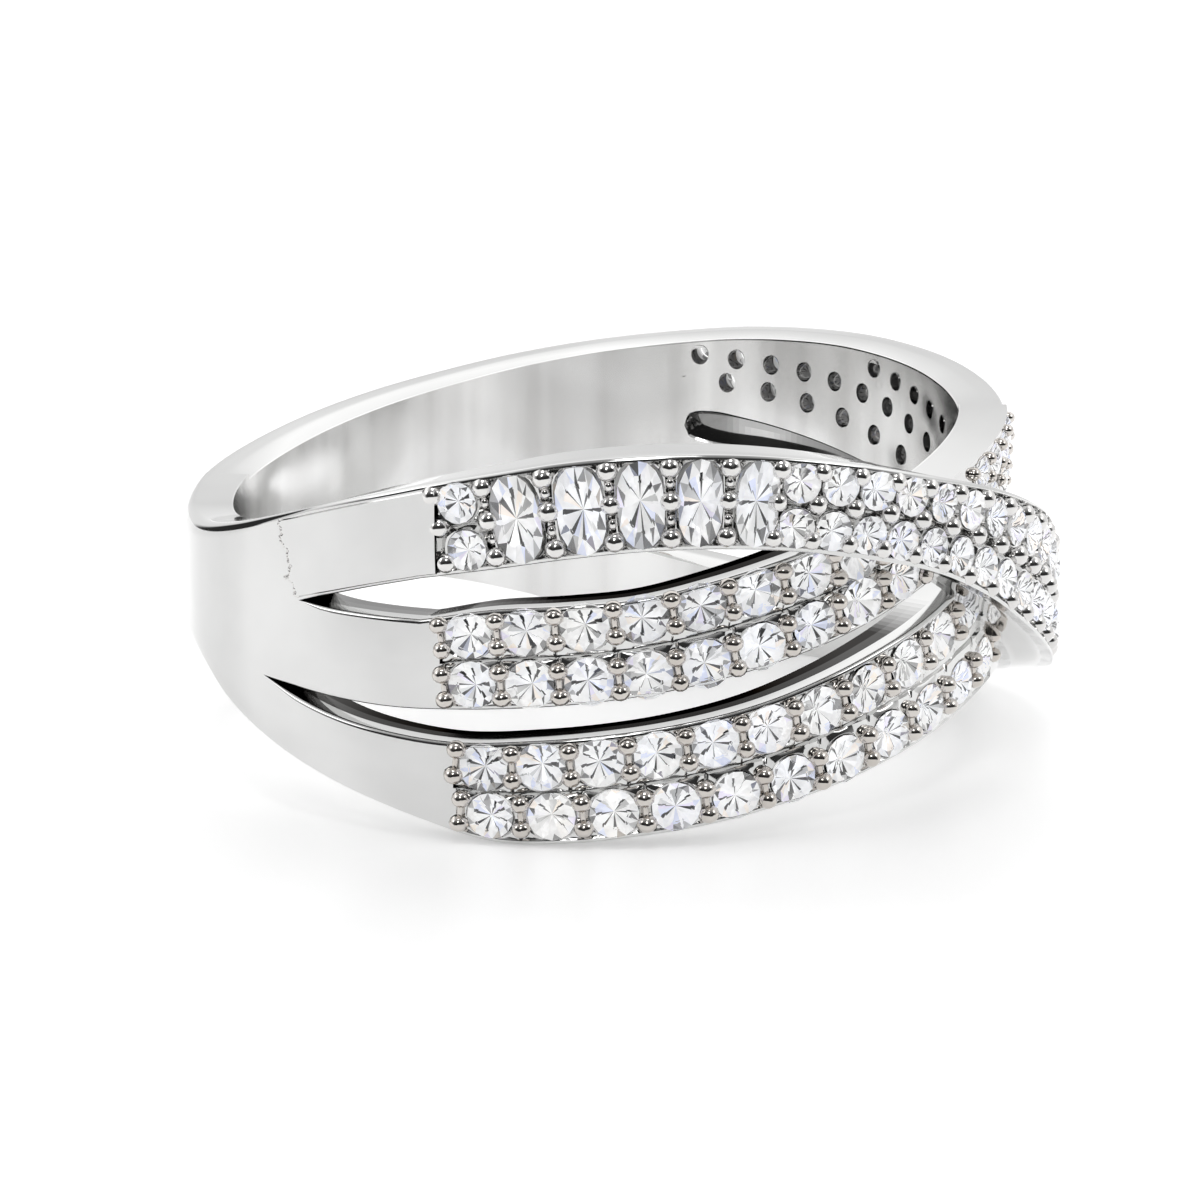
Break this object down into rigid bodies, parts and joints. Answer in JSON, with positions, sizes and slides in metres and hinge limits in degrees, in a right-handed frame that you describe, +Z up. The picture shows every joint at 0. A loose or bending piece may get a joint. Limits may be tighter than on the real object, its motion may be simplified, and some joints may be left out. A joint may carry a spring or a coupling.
{
  "type": "crossover ring",
  "caption": "Finger ring whose shank splits into three arms, one crossing over the outside, all set with round and elongated clear stones",
  "frame": {"origin": "on the finger axis, at the middle of the ring's width", "axes": "+Z along the finger axis and up as the ring lies, -Y towards the centre of the ring's head, where the arms cross, +X to the head's right as seen from the front with +Z up"},
  "size_m": [0.0202, 0.0209, 0.0092],
  "materials": {
    "silver": "polished",
    "clear_stone": "polished"
  },
  "bodies": {
    "root": {"ring_band": "silver", "over_arm_stones": "clear_stone", "middle_arm_stones": "clear_stone", "lower_arm_stones": "clear_stone", "far_middle_arm_stones": "clear_stone", "oval_stone_01": "clear_stone", "oval_stone_02": "clear_stone", "oval_stone_03": "clear_stone", "oval_stone_04": "clear_stone", "oval_stone_05": "clear_stone", "oval_stone_06": "clear_stone", "oval_stone_07": "clear_stone", "oval_stone_08": "clear_stone", "oval_stone_09": "clear_stone", "oval_stone_10": "clear_stone"}
  },
  "joints": []
}
